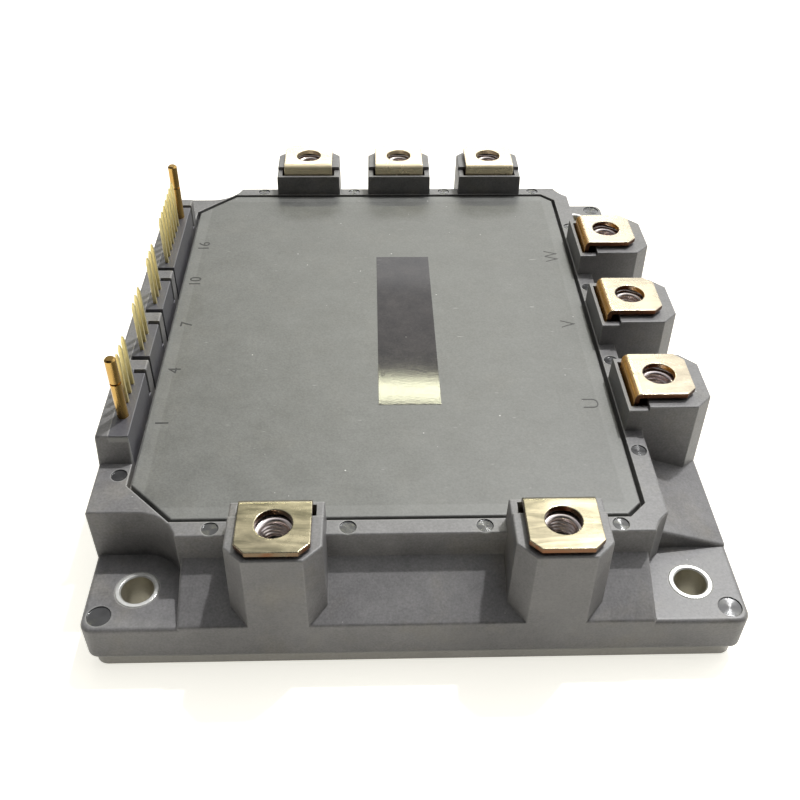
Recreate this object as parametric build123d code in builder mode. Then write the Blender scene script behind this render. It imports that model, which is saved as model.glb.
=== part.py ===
from build123d import *
import os

# Three-phase transistor power module in a moulded case, with screw terminals and control pins.
# All sizes are in millimetres. X runs across the module, from the pin side to the output side.
# Y runs along it, and Z is up. The origin is the centre of the base plate's underside.

os.makedirs("parts", exist_ok=True)

# Moulded case: its outline seen from above, and the flange round its foot.
CASE_X = 110.0
CASE_Y = 136.0
FLANGE_THICKNESS = 7.1
FLANGE_CORNER_R = 2.2
FLANGE_EDGE_R = 0.8

# Base plate under the case.
BASE_THICKNESS = 3.5
BASE_INSET = 0.8
BASE_EDGE_CHAMFER = 0.3

# Corner mounting holes. Each has a pressed-in bush and a round pocket for the screw's head.
HOLE_INSET = 8.2
HOLE_DIAMETER = 5.5
BUSH_DIAMETER = 7.4
BUSH_STAND = 0.1
BUSH_MOUTH_CHAMFER = 0.25
BUSH_RIM_CHAMFER = 0.15
POCKET_R = 7.6

# Body above the flange, and the ramps that lean against its walls.
BODY_HEIGHT = 10.8
END_WALL_INSET = 10.4
SIDE_WALL_INSET = 12.6
BODY_EDGE_R = 0.3
RAMP_LIP = 0.3
END_RAMP_RISE = 5.4
SIDE_RAMP_RISE = 4.4
RAMP_EDGE_R = 0.6

# Lid, the frame opening that it drops into, and the label stuck on it.
END_STRIP = 3.1
SIDE_STRIP = 3.5
OPENING_CHAMFER_PIN_SIDE = 8.4
OPENING_CHAMFER_OUTPUT_SIDE = 3.0
LID_GAP = 0.7
LID_LEDGE = 1.7
LID_THICKNESS = 2.0
LID_DROP = 0.1
LID_EDGE_R = 0.3
LABEL_X = 11.8
LABEL_Y = 51.2
LABEL_THICKNESS = 0.08

# Raised blocks: one wall of control pins on the left, and eight screw terminals.
BLOCK_RISE = 5.6
BLOCK_DRAFT = 1.0
PIN_BLOCK_WIDTH = 5.7
TERMINAL_BLOCK_WIDTH = 15.9
TERMINAL_BLOCK_CHAMFER = 3.1
TERMINAL_SETBACK = 7.0
RIM_STEP_SETBACK = 3.0
RIM_DROP = 0.8
BLOCK_EDGE_R = 0.3
END_TERMINAL_PITCH = 22.6
SIDE_TERMINAL_PITCH = 25.8

# Bent terminal plates.
PLATE_THICKNESS = 1.0
PLATE_WIDTH = 11.8
PLATE_REACH = 5.8
PLATE_LIFT = 0.6
PLATE_HOLE_DIAMETER = 5.9
PLATE_CHAMFER = 1.8
BEND_R = 0.8
LEG_SETBACK = 5.1
LEG_CROSSING_RISE = 3.0
FOOT_LAND = 1.0
FOOT_LENGTH = 4.7
SLOT_CLEARANCE = 0.5
PLATE_EDGE_R = 0.15

# Captive nuts for M5 screws.
NUT_ACROSS_FLATS = 8.0
NUT_THICKNESS = 4.0
NUT_BORE = 4.2
NUT_MOUTH_CHAMFER = 0.5
NUT_CLEARANCE = 0.1
NUT_SINK = 0.1
SCREW_WELL_DIAMETER = 5.6
SCREW_WELL_DEPTH = 12.0

# Control pins: square wire on one grid, in groups of so many pins from front to back, with
# empty places on the grid between the groups.
PIN_PITCH = 2.54
PIN_COUNTS = (3, 3, 3, 7)
EMPTY_PLACES = 3
PIN_SIZE = 0.64
PIN_TIP_SIZE = 0.3
PIN_TIP_LENGTH = 1.1
PIN_STAND = 10.7
PIN_LINE_INSET = 3.9
PIN_TAIL = 3.1

# Guide pins: one beyond each end of the grid, turned and grooved.
GUIDE_DIAMETER = 2.0
GUIDE_STAND = 12.9
GUIDE_DEPTH = 9.0
GUIDE_TIP_CHAMFER = 0.3
GUIDE_GROOVE_DROP = 5.4
GUIDE_GROOVE_WIDTH = 0.4
GUIDE_GROOVE_DEPTH = 0.25
GUIDE_OFFSET = 3.81
GUIDE_FIT = 0.02

# Carriers: moulded inserts that hold the pins in the left wall, with a slit beside each.
CARRIER_WIDTH = 3.4
CARRIER_HEIGHT = 15.0
CARRIER_GUIDE_MARGIN = 5.3
CARRIER_FRONT_MARGIN = 2.2
CARRIER_BACK_MARGIN = 4.0
CARRIER_FOOT_REACH = 1.0
SLIT_WIDTH = 1.2
SHORT_SLIT_LENGTH = 2.2
PIN_BLOCK_END_RIB = 2.8

# Ejector marks: shallow round dimples that the mould leaves.
FLANGE_MARK_DIAMETER = 4.0
FLANGE_MARK_INSET = 2.9
FRAME_MARK_DIAMETER = 2.8
MARK_DEPTH = 0.2

# Inside: ceramic substrates and their chips, under silicone gel.
SUBSTRATE_THICKNESS = 1.0
SUBSTRATE_MARGIN = 2.8
SUBSTRATE_PIN_SIDE_MARGIN = 9.0
SUBSTRATE_GAP = 2.0
IGBT_SIZE = 12.0
DIODE_X = 12.0
DIODE_Y = 8.0
CHIP_THICKNESS = 0.3
CHIP_GAP = 2.0
CHIP_COLUMN_PITCH = 28.0
CHIP_COLUMN_SHIFT = -6.0
GEL_DEPTH = 7.0

# Inside: the control board, its driver chips, and the wires down to the substrates.
BOARD_THICKNESS = 1.6
BOARD_GAP = 1.4
BOARD_LEDGE_DEPTH = 2.6
BOARD_LEDGE_LENGTH = 8.0
BOARD_LEDGE_GAP = 1.0
DRIVER_X = 7.5
DRIVER_Y = 10.3
DRIVER_THICKNESS = 2.3
DRIVER_HEADROOM = 1.0
DRIVER_GAP = 2.5
LINK_PIN_SIZE = 0.8
LINK_PIN_PITCH = 8.0
LINK_PIN_SETBACK = 12.0

# Heights that follow.
FLANGE_TOP = BASE_THICKNESS + FLANGE_THICKNESS
FRAME_TOP = FLANGE_TOP + BODY_HEIGHT
BLOCK_TOP = FRAME_TOP + BLOCK_RISE
LID_TOP = FRAME_TOP - LID_DROP
LID_SEAT = LID_TOP - LID_THICKNESS
SUBSTRATE_TOP = BASE_THICKNESS + SUBSTRATE_THICKNESS
CROSSING_BOTTOM = SUBSTRATE_TOP + LEG_CROSSING_RISE
CARRIER_BOTTOM = BLOCK_TOP - CARRIER_HEIGHT
BOARD_TOP = LID_SEAT - DRIVER_HEADROOM - DRIVER_THICKNESS
BOARD_BOTTOM = BOARD_TOP - BOARD_THICKNESS
CARRIER_FOOT_TOP = BOARD_TOP + 2 * PIN_SIZE

# Groups that follow: the number of each group's first pin, its place on the grid, and its pins.
PIN_GROUPS = []
first_number = 1
first_place = 0
for count in PIN_COUNTS:
    PIN_GROUPS.append((first_number, first_place, count))
    first_number += count
    first_place += count + EMPTY_PLACES
LAST_GRID_PLACE = first_place - EMPTY_PLACES - 1

# Places that follow.
HOLE_CENTRES = GridLocations(CASE_X - 2 * HOLE_INSET, CASE_Y - 2 * HOLE_INSET, 2, 2).locations
POCKET_SIZE = 2 * (HOLE_INSET + POCKET_R)
END_WALL_Y = CASE_Y / 2 - END_WALL_INSET
SIDE_WALL_X = CASE_X / 2 - SIDE_WALL_INSET
OPENING_LEFT_X = PIN_BLOCK_WIDTH - CASE_X / 2
OPENING_RIGHT_X = SIDE_WALL_X - SIDE_STRIP
OPENING_END_Y = END_WALL_Y - END_STRIP
CAVITY_LEFT_X = OPENING_LEFT_X + LID_LEDGE
CAVITY_RIGHT_X = OPENING_RIGHT_X - LID_LEDGE
CAVITY_END_Y = OPENING_END_Y - LID_LEDGE
PIN_LINE_X = PIN_LINE_INSET - CASE_X / 2
CARRIER_LEFT_X = OPENING_LEFT_X - CARRIER_WIDTH
CARRIER_FOOT_END_X = CAVITY_LEFT_X + CARRIER_FOOT_REACH
GUIDE_Y = LAST_GRID_PLACE / 2 * PIN_PITCH + GUIDE_OFFSET
CARRIER_END_Y = GUIDE_Y + CARRIER_GUIDE_MARGIN
PIN_BLOCK_FRONT = -CARRIER_END_Y - SLIT_WIDTH
PIN_BLOCK_BACK = CARRIER_END_Y + PIN_BLOCK_END_RIB

# Terminals: each name, and the place of its screw hole, turned so that its Y points outwards.
END_HOLE_Y = OPENING_END_Y + TERMINAL_SETBACK
SIDE_HOLE_X = OPENING_RIGHT_X + TERMINAL_SETBACK
END_TERMINALS = {
    "front_left": Location((-END_TERMINAL_PITCH, -END_HOLE_Y), 180),
    "front_right": Location((END_TERMINAL_PITCH, -END_HOLE_Y), 180),
    "back_left": Location((-END_TERMINAL_PITCH, END_HOLE_Y), 0),
    "back_middle": Location((0, END_HOLE_Y), 0),
    "back_right": Location((END_TERMINAL_PITCH, END_HOLE_Y), 0),
}
SIDE_TERMINALS = {
    "output_u": Location((SIDE_HOLE_X, -SIDE_TERMINAL_PITCH), -90),
    "output_v": Location((SIDE_HOLE_X, 0), -90),
    "output_w": Location((SIDE_HOLE_X, SIDE_TERMINAL_PITCH), -90),
}
TERMINALS = END_TERMINALS | SIDE_TERMINALS


def grid_y(place):
    """Y of a place on the pin grid, which is centred on the module."""
    return (place - LAST_GRID_PLACE / 2) * PIN_PITCH


def carrier_span(first_place, count):
    """Front and back Y of one group's carrier, which is longer where it holds a guide pin."""
    last_place = first_place + count - 1
    front = grid_y(first_place) - CARRIER_FRONT_MARGIN
    back = grid_y(last_place) + CARRIER_BACK_MARGIN
    if first_place == 0:
        front = -CARRIER_END_Y
    if last_place == LAST_GRID_PLACE:
        back = CARRIER_END_Y
    return front, back


def inset_opening(margin):
    """The lid opening's outline, moved inwards by margin on every side."""
    with BuildSketch() as inset:
        offset(opening.sketch, amount=-margin, kind=Kind.INTERSECTION)
    return inset.sketch


def terminal_block(reach):
    """A terminal block with its screw hole on the Z axis and its outer face at Y = reach. Its
    walls have draft, and the rim round the plate's leg is a step lower than the block."""
    foot_z = FLANGE_TOP - FLANGE_EDGE_R
    with BuildPart() as block:
        with BuildSketch(Plane.XY.offset(foot_z)) as foot:
            with Locations((0, (reach - TERMINAL_SETBACK) / 2)):
                Rectangle(TERMINAL_BLOCK_WIDTH, reach + TERMINAL_SETBACK)
            chamfer(foot.vertices().group_by(Axis.Y)[-1], TERMINAL_BLOCK_CHAMFER)
        extrude(amount=BLOCK_TOP - foot_z, taper=BLOCK_DRAFT)
        with BuildSketch(Plane.XY.offset(BLOCK_TOP)):
            with Locations((0, -(TERMINAL_SETBACK + RIM_STEP_SETBACK) / 2)):
                Rectangle(TERMINAL_BLOCK_WIDTH, TERMINAL_SETBACK - RIM_STEP_SETBACK)
        extrude(amount=-RIM_DROP, mode=Mode.SUBTRACT)
        tops = block.faces().filter_by(Plane.XY).sort_by(Axis.Z)[-2:]
        fillet(tops.edges().filter_by(Axis.X, reverse=True), BLOCK_EDGE_R)
        fillet(block.edges().filter_by(Axis.X).sort_by(Axis.Z)[-3:].sort_by(Axis.Y)[-1], BLOCK_EDGE_R)
    return block.part


def ramp(length, inset, rise):
    """A ramp along X, with its front edge over the X axis. It stands a lip above the flange there
    and leans on a wall that lies inset behind. Its front and side edges are rounded."""
    with BuildPart() as wedge:
        with BuildSketch(Plane.YZ) as profile:
            with BuildLine():
                Polyline(
                    (0, BASE_THICKNESS),
                    (0, FLANGE_TOP + RAMP_LIP),
                    (inset, FLANGE_TOP + rise),
                    (inset, BASE_THICKNESS),
                    close=True,
                )
            make_face()
            fillet(profile.vertices().group_by(Axis.X)[0].sort_by(Axis.Y)[-1], RAMP_EDGE_R)
        extrude(amount=length / 2, both=True)
        slope = wedge.faces().sort_by(Axis.Z)[-1]
        lip = wedge.faces().filter_by(GeomType.CYLINDER)[0]
        fillet((slope.edges() + lip.edges()).filter_by(Axis.X, reverse=True), RAMP_EDGE_R)
    return wedge.part


# Lid opening: its outline seen from above, with larger chamfers on the pin side.
with BuildSketch() as opening:
    with Locations((OPENING_LEFT_X, -OPENING_END_Y)):
        Rectangle(OPENING_RIGHT_X - OPENING_LEFT_X, 2 * OPENING_END_Y, align=Align.MIN)
    chamfer(opening.vertices().group_by(Axis.X)[0], OPENING_CHAMFER_PIN_SIDE)
    chamfer(opening.vertices().group_by(Axis.X)[-1], OPENING_CHAMFER_OUTPUT_SIDE)

# Base plate: a flat plate with rounded corners and a hole under each bush.
with BuildPart() as base_plate:
    with BuildSketch():
        RectangleRounded(CASE_X - 2 * BASE_INSET, CASE_Y - 2 * BASE_INSET, FLANGE_CORNER_R)
        with Locations(*HOLE_CENTRES):
            Circle(HOLE_DIAMETER / 2, mode=Mode.SUBTRACT)
    extrude(amount=BASE_THICKNESS)
    chamfer(base_plate.faces().sort_by(Axis.Z)[0].outer_wire().edges(), BASE_EDGE_CHAMFER)
base_plate.part.label = "base_plate"
export_step(base_plate.part, "parts/base_plate.step")

# Body: the case above its flange, flush with it on the pin side. Each corner is cut back by a
# pocket whose inner corner is round about the mounting hole.
with BuildPart() as body:
    with BuildSketch(Plane.XY.offset(FLANGE_TOP - FLANGE_EDGE_R)):
        with Locations(((SIDE_WALL_X - CASE_X / 2) / 2, 0)):
            Rectangle(SIDE_WALL_X + CASE_X / 2, 2 * END_WALL_Y)
        with GridLocations(CASE_X, CASE_Y, 2, 2):
            RectangleRounded(POCKET_SIZE, POCKET_SIZE, POCKET_R, mode=Mode.SUBTRACT)
    extrude(amount=BODY_HEIGHT + FLANGE_EDGE_R)
    fillet(body.faces().sort_by(Axis.Z)[-1].edges(), BODY_EDGE_R)

# Pin block: the raised wall on the pin side, with its front end sloped back.
with BuildPart() as pin_block:
    with BuildSketch(Plane.YZ.offset(-CASE_X / 2)):
        with BuildLine():
            Polyline(
                (PIN_BLOCK_FRONT, FRAME_TOP - BODY_EDGE_R),
                (PIN_BLOCK_FRONT, FRAME_TOP),
                (-CARRIER_END_Y, BLOCK_TOP),
                (PIN_BLOCK_BACK, BLOCK_TOP),
                (PIN_BLOCK_BACK, FRAME_TOP - BODY_EDGE_R),
                close=True,
            )
        make_face()
    extrude(amount=PIN_BLOCK_WIDTH)
    fillet(pin_block.faces().sort_by(Axis.Z)[-1].edges(), BLOCK_EDGE_R)

# Case: one moulding with flange, ramps, body, pin block and terminal blocks, open below.
with BuildPart() as case:
    with BuildSketch(Plane.XY.offset(BASE_THICKNESS)):
        RectangleRounded(CASE_X, CASE_Y, FLANGE_CORNER_R)
    extrude(amount=FLANGE_THICKNESS)
    fillet(case.faces().sort_by(Axis.Z)[-1].edges(), FLANGE_EDGE_R)
    add(body.part)

    # Ramps between the corner pockets, in front, behind and on the output side.
    end_ramp = ramp(CASE_X - POCKET_SIZE, END_WALL_INSET, END_RAMP_RISE)
    side_ramp = ramp(CASE_Y - POCKET_SIZE, SIDE_WALL_INSET, SIDE_RAMP_RISE)
    with Locations(Location((0, -CASE_Y / 2), 0), Location((0, CASE_Y / 2), 180)):
        add(end_ramp)
    with Locations(Location((CASE_X / 2, 0), 90)):
        add(side_ramp)

    # Raised blocks.
    add(pin_block.part)
    end_block = terminal_block(CASE_Y / 2 - END_HOLE_Y)
    side_block = terminal_block(CASE_X / 2 - SIDE_HOLE_X)
    with Locations(*END_TERMINALS.values()):
        add(end_block)
    with Locations(*SIDE_TERMINALS.values()):
        add(side_block)

    # Lid opening, the cavity below its ledge, and the ledges for the control board in the
    # cavity's corners.
    with BuildSketch(Plane.XY.offset(LID_SEAT)):
        add(opening.sketch)
    extrude(amount=BLOCK_TOP - LID_SEAT, mode=Mode.SUBTRACT)
    with BuildSketch(Plane.XY.offset(BASE_THICKNESS)):
        add(inset_opening(LID_LEDGE))
    extrude(amount=LID_SEAT - BASE_THICKNESS, mode=Mode.SUBTRACT)
    terminal_side = END_TERMINAL_PITCH + PLATE_WIDTH / 2 + SLOT_CLEARANCE + BOARD_LEDGE_GAP
    with BuildSketch(Plane.XY.offset(BASE_THICKNESS)):
        add(inset_opening(LID_LEDGE))
        add(inset_opening(LID_LEDGE + BOARD_LEDGE_DEPTH), mode=Mode.SUBTRACT)
        Rectangle(CASE_X, 2 * (CAVITY_END_Y - BOARD_LEDGE_LENGTH), mode=Mode.SUBTRACT)
        Rectangle(2 * terminal_side, CASE_Y, mode=Mode.SUBTRACT)
    extrude(amount=BOARD_BOTTOM - BASE_THICKNESS)

    # Mounting holes for the bushes.
    with BuildSketch(Plane.XY.offset(BASE_THICKNESS)):
        with Locations(*HOLE_CENTRES):
            Circle(BUSH_DIAMETER / 2)
    extrude(amount=FLANGE_THICKNESS, mode=Mode.SUBTRACT)

    # Pockets for the pin carriers, and a window below the lid's ledge for each carrier's foot.
    with BuildSketch(Plane.XY.offset(CARRIER_BOTTOM)):
        for number, first_place, count in PIN_GROUPS:
            front, back = carrier_span(first_place, count)
            with Locations((CARRIER_LEFT_X, front - SLIT_WIDTH)):
                Rectangle(CARRIER_WIDTH, back - front + SLIT_WIDTH, align=Align.MIN)
        with Locations((CARRIER_LEFT_X, PIN_BLOCK_FRONT)):
            Rectangle(CARRIER_WIDTH, SLIT_WIDTH, align=Align.MIN, mode=Mode.SUBTRACT)
    extrude(amount=CARRIER_HEIGHT, mode=Mode.SUBTRACT)
    with BuildSketch(Plane.XY.offset(CARRIER_BOTTOM)):
        for number, first_place, count in PIN_GROUPS:
            front, back = carrier_span(first_place, count)
            with Locations((OPENING_LEFT_X, front)):
                Rectangle(LID_LEDGE, back - front, align=Align.MIN)
    extrude(amount=CARRIER_FOOT_TOP - CARRIER_BOTTOM, mode=Mode.SUBTRACT)

    # Nut pockets, and wells below them for the ends of the screws.
    with BuildSketch(Plane.XY.offset(BLOCK_TOP)):
        with Locations(*TERMINALS.values()):
            RegularPolygon(NUT_ACROSS_FLATS / 2 + NUT_CLEARANCE, 6, major_radius=False)
    extrude(amount=-NUT_THICKNESS - NUT_SINK, mode=Mode.SUBTRACT)
    with BuildSketch(Plane.XY.offset(BLOCK_TOP)):
        with Locations(*TERMINALS.values()):
            Circle(SCREW_WELL_DIAMETER / 2)
    extrude(amount=-SCREW_WELL_DEPTH, mode=Mode.SUBTRACT)

    # Slots for the plates' legs, and below them the way through the wall into the cavity.
    slot_width = PLATE_WIDTH + 2 * SLOT_CLEARANCE
    slot_back = LEG_SETBACK + PLATE_THICKNESS / 2 + SLOT_CLEARANCE
    with BuildSketch(Plane.XY.offset(CROSSING_BOTTOM)):
        with Locations(*TERMINALS.values()):
            with Locations((0, -(slot_back + RIM_STEP_SETBACK) / 2)):
                Rectangle(slot_width, slot_back - RIM_STEP_SETBACK)
    extrude(amount=BLOCK_TOP - CROSSING_BOTTOM, mode=Mode.SUBTRACT)
    with BuildSketch(Plane.XY.offset(CROSSING_BOTTOM)):
        with Locations(*TERMINALS.values()):
            with Locations((0, -(slot_back + TERMINAL_SETBACK + LID_LEDGE) / 2)):
                Rectangle(slot_width, TERMINAL_SETBACK + LID_LEDGE - slot_back)
    extrude(amount=PLATE_THICKNESS + SLOT_CLEARANCE, mode=Mode.SUBTRACT)

    # Ejector marks on the flange's corners, and on the frame between the terminals.
    with BuildSketch(Plane.XY.offset(FLANGE_TOP)):
        with GridLocations(CASE_X - 2 * FLANGE_MARK_INSET, CASE_Y - 2 * FLANGE_MARK_INSET, 2, 2):
            Circle(FLANGE_MARK_DIAMETER / 2)
    extrude(amount=-MARK_DEPTH, mode=Mode.SUBTRACT)
    with BuildSketch(Plane.XY.offset(FRAME_TOP)):
        with GridLocations(END_TERMINAL_PITCH, 2 * END_WALL_Y - END_STRIP, 4, 2):
            Circle(FRAME_MARK_DIAMETER / 2)
        with Locations((SIDE_WALL_X - SIDE_STRIP / 2, 0)):
            with GridLocations(0, SIDE_TERMINAL_PITCH, 1, 4):
                Circle(FRAME_MARK_DIAMETER / 2)
        with Locations((OPENING_LEFT_X - CARRIER_WIDTH / 2, PIN_BLOCK_FRONT - FRAME_MARK_DIAMETER)):
            Circle(FRAME_MARK_DIAMETER / 2)
    extrude(amount=-MARK_DEPTH, mode=Mode.SUBTRACT)
case.part.label = "case"
export_step(case.part, "parts/case.step")

# Lid: a flat plate that rests on the frame's ledge, with a gap all round.
with BuildPart() as lid:
    with BuildSketch(Plane.XY.offset(LID_SEAT)):
        add(inset_opening(LID_GAP))
    extrude(amount=LID_THICKNESS)
    fillet(lid.faces().sort_by(Axis.Z)[-1].edges(), LID_EDGE_R)
lid.part.label = "lid"
export_step(lid.part, "parts/lid.step")

# Label: a blank glossy film stuck on the lid.
with BuildPart() as label_film:
    with BuildSketch(Plane.XY.offset(LID_TOP)):
        Rectangle(LABEL_X, LABEL_Y)
    extrude(amount=LABEL_THICKNESS)
label_film.part.label = "label_film"
export_step(label_film.part, "parts/label_film.step")

# Bushes: plated tubes pressed into the flange, which take the load of the mounting screws.
BUSH_NAMES = ("front_left", "back_left", "front_right", "back_right")
for name, place in zip(BUSH_NAMES, HOLE_CENTRES):
    with BuildPart() as bush:
        with BuildSketch(Plane.XY.offset(BASE_THICKNESS)):
            with Locations(place):
                Circle(BUSH_DIAMETER / 2)
                Circle(HOLE_DIAMETER / 2, mode=Mode.SUBTRACT)
        extrude(amount=FLANGE_THICKNESS + BUSH_STAND)
        chamfer(bush.edges().group_by(Axis.Z)[-1].sort_by(SortBy.RADIUS)[0], BUSH_MOUTH_CHAMFER)
        chamfer(bush.edges().group_by(Axis.Z)[-1].sort_by(SortBy.RADIUS)[-1], BUSH_RIM_CHAMFER)
    bush.part.label = f"bush_{name}"
    export_step(bush.part, f"parts/bush_{name}.step")

# Terminal plate: flat on top with a screw hole, bent down into its slot, through the wall and
# down again to a foot that is soldered to the substrate.
foot_drop = TERMINAL_SETBACK + LID_LEDGE + SUBSTRATE_MARGIN + FOOT_LAND
plate_z = BLOCK_TOP + PLATE_LIFT + PLATE_THICKNESS / 2
crossing_z = CROSSING_BOTTOM + PLATE_THICKNESS / 2
foot_z = SUBSTRATE_TOP + PLATE_THICKNESS / 2
with BuildPart() as plate:
    with BuildSketch(Plane.YZ):
        with BuildLine():
            FilletPolyline(
                (PLATE_REACH, plate_z),
                (-LEG_SETBACK, plate_z),
                (-LEG_SETBACK, crossing_z),
                (-foot_drop, crossing_z),
                (-foot_drop, foot_z),
                (-foot_drop - FOOT_LENGTH, foot_z),
                radius=BEND_R,
            )
        trace(line_width=PLATE_THICKNESS)
    extrude(amount=PLATE_WIDTH / 2, both=True)
    chamfer(plate.edges().filter_by(Axis.Z).group_by(Axis.Y)[-1], PLATE_CHAMFER)
    with BuildSketch(Plane.XY.offset(BLOCK_TOP)):
        Circle(PLATE_HOLE_DIAMETER / 2)
    extrude(amount=PLATE_LIFT + PLATE_THICKNESS, mode=Mode.SUBTRACT)
    fillet(plate.faces().sort_by(Axis.Z)[-1].edges().sort_by(Axis.Y)[1:], PLATE_EDGE_R)

# Nut: a hexagon with a chamfered mouth on both faces.
with BuildPart() as nut:
    with BuildSketch(Plane.XY.offset(BLOCK_TOP - NUT_SINK - NUT_THICKNESS)):
        RegularPolygon(NUT_ACROSS_FLATS / 2, 6, major_radius=False)
        Circle(NUT_BORE / 2, mode=Mode.SUBTRACT)
    extrude(amount=NUT_THICKNESS)
    chamfer(nut.edges().filter_by(GeomType.CIRCLE), NUT_MOUTH_CHAMFER)

terminals = {}
for name, place in TERMINALS.items():
    with BuildPart() as terminal:
        with Locations(place):
            add(plate.part)
    terminals[name] = terminal.part
    terminal.part.label = f"terminal_{name}"
    export_step(terminal.part, f"parts/terminal_{name}.step")
    with BuildPart() as captive_nut:
        with Locations(place):
            add(nut.part)
    captive_nut.part.label = f"nut_{name}"
    export_step(captive_nut.part, f"parts/nut_{name}.step")

# Control pins: square wire with a tapered tip, bent below the carrier to lie on the board.
with BuildPart() as pin:
    with BuildSketch(Plane.XZ):
        with BuildLine():
            Polyline(
                (PIN_LINE_X, BLOCK_TOP + PIN_STAND - PIN_TIP_LENGTH),
                (PIN_LINE_X, BOARD_TOP + PIN_SIZE / 2),
                (CARRIER_FOOT_END_X + PIN_TAIL, BOARD_TOP + PIN_SIZE / 2),
            )
        trace(line_width=PIN_SIZE)
    extrude(amount=PIN_SIZE / 2, both=True)
    with BuildSketch(Plane.XY.offset(BLOCK_TOP + PIN_STAND - PIN_TIP_LENGTH)):
        with Locations((PIN_LINE_X, 0)):
            Rectangle(PIN_SIZE, PIN_SIZE)
    with BuildSketch(Plane.XY.offset(BLOCK_TOP + PIN_STAND)):
        with Locations((PIN_LINE_X, 0)):
            Rectangle(PIN_TIP_SIZE, PIN_TIP_SIZE)
    loft()

for number, first_place, count in PIN_GROUPS:
    for step in range(count):
        with BuildPart() as control_pin:
            with Locations((0, grid_y(first_place + step), 0)):
                add(pin.part)
        control_pin.part.label = f"control_pin_{number + step:02d}"
        export_step(control_pin.part, f"parts/control_pin_{number + step:02d}.step")

# Guide pins: turned pins, thicker and taller than the control pins, with a fine groove.
for name, centre_y in (("front", -GUIDE_Y), ("back", GUIDE_Y)):
    with BuildPart() as guide_pin:
        with BuildSketch(Plane.XY.offset(BLOCK_TOP - GUIDE_DEPTH)):
            with Locations((PIN_LINE_X, centre_y)):
                Circle(GUIDE_DIAMETER / 2)
        extrude(amount=GUIDE_DEPTH + GUIDE_STAND)
        chamfer(guide_pin.edges().filter_by(GeomType.CIRCLE).sort_by(Axis.Z)[-1], GUIDE_TIP_CHAMFER)
        with BuildSketch(Plane.XY.offset(BLOCK_TOP + GUIDE_STAND - GUIDE_GROOVE_DROP)):
            with Locations((PIN_LINE_X, centre_y)):
                Circle(GUIDE_DIAMETER)
                Circle(GUIDE_DIAMETER / 2 - GUIDE_GROOVE_DEPTH, mode=Mode.SUBTRACT)
        extrude(amount=GUIDE_GROOVE_WIDTH, mode=Mode.SUBTRACT)
    guide_pin.part.label = f"guide_pin_{name}"
    export_step(guide_pin.part, f"parts/guide_pin_{name}.step")

# Carriers: moulded round their pins, with a foot through the window into the cavity. The notch
# in the back corner leaves the short slit between carrier and case.
for number, first_place, count in PIN_GROUPS:
    front, back = carrier_span(first_place, count)
    pin_ys = [grid_y(first_place + step) for step in range(count)]
    guide_ys = [y for y in (-GUIDE_Y, GUIDE_Y) if front < y < back]
    with BuildPart() as carrier:
        with BuildSketch(Plane.XY.offset(CARRIER_BOTTOM)):
            with Locations((CARRIER_LEFT_X, front)):
                Rectangle(CARRIER_WIDTH, back - front, align=Align.MIN)
        extrude(amount=CARRIER_HEIGHT)
        with BuildSketch(Plane.XY.offset(CARRIER_BOTTOM)):
            with Locations((CARRIER_LEFT_X, front)):
                Rectangle(CARRIER_FOOT_END_X - CARRIER_LEFT_X, back - front, align=Align.MIN)
        extrude(amount=CARRIER_FOOT_TOP - CARRIER_BOTTOM)
        with BuildSketch(Plane.XY.offset(BLOCK_TOP)):
            with Locations((OPENING_LEFT_X, back)):
                Rectangle(SHORT_SLIT_LENGTH, SLIT_WIDTH, align=Align.MAX)
        extrude(amount=-BLOCK_RISE, mode=Mode.SUBTRACT)
        with BuildSketch(Plane.XY.offset(BOARD_TOP)):
            with Locations(*[(PIN_LINE_X, y) for y in pin_ys]):
                Rectangle(PIN_SIZE, PIN_SIZE)
        extrude(amount=BLOCK_TOP - BOARD_TOP, mode=Mode.SUBTRACT)
        with BuildSketch(Plane.XY.offset(BOARD_TOP)):
            with Locations(*[(PIN_LINE_X, y) for y in pin_ys]):
                Rectangle(CARRIER_FOOT_END_X - PIN_LINE_X, PIN_SIZE, align=(Align.MIN, Align.CENTER))
        extrude(amount=PIN_SIZE, mode=Mode.SUBTRACT)
        if guide_ys:
            with BuildSketch(Plane.XY.offset(BLOCK_TOP)):
                with Locations(*[(PIN_LINE_X, y) for y in guide_ys]):
                    Circle(GUIDE_DIAMETER / 2 + GUIDE_FIT)
            extrude(amount=-GUIDE_DEPTH, mode=Mode.SUBTRACT)
    carrier_name = f"pin_carrier_{number:02d}_{number + count - 1:02d}"
    carrier.part.label = carrier_name
    export_step(carrier.part, f"parts/{carrier_name}.step")

# Substrates: one ceramic tile for each phase, soldered to the base plate.
substrate_left = CAVITY_LEFT_X + SUBSTRATE_PIN_SIDE_MARGIN
substrate_x = CAVITY_RIGHT_X - SUBSTRATE_MARGIN - substrate_left
substrate_y = (2 * (CAVITY_END_Y - SUBSTRATE_MARGIN) - 2 * SUBSTRATE_GAP) / 3
substrate_centre_x = substrate_left + substrate_x / 2
PHASES = {"u": -substrate_y - SUBSTRATE_GAP, "v": 0, "w": substrate_y + SUBSTRATE_GAP}
substrates = []
for phase, centre_y in PHASES.items():
    with BuildPart() as substrate:
        with BuildSketch(Plane.XY.offset(BASE_THICKNESS)):
            with Locations((substrate_centre_x, centre_y)):
                Rectangle(substrate_x, substrate_y)
        extrude(amount=SUBSTRATE_THICKNESS)
    substrates.append(substrate.part)
    substrate.part.label = f"substrate_{phase}"
    export_step(substrate.part, f"parts/substrate_{phase}.step")

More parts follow.
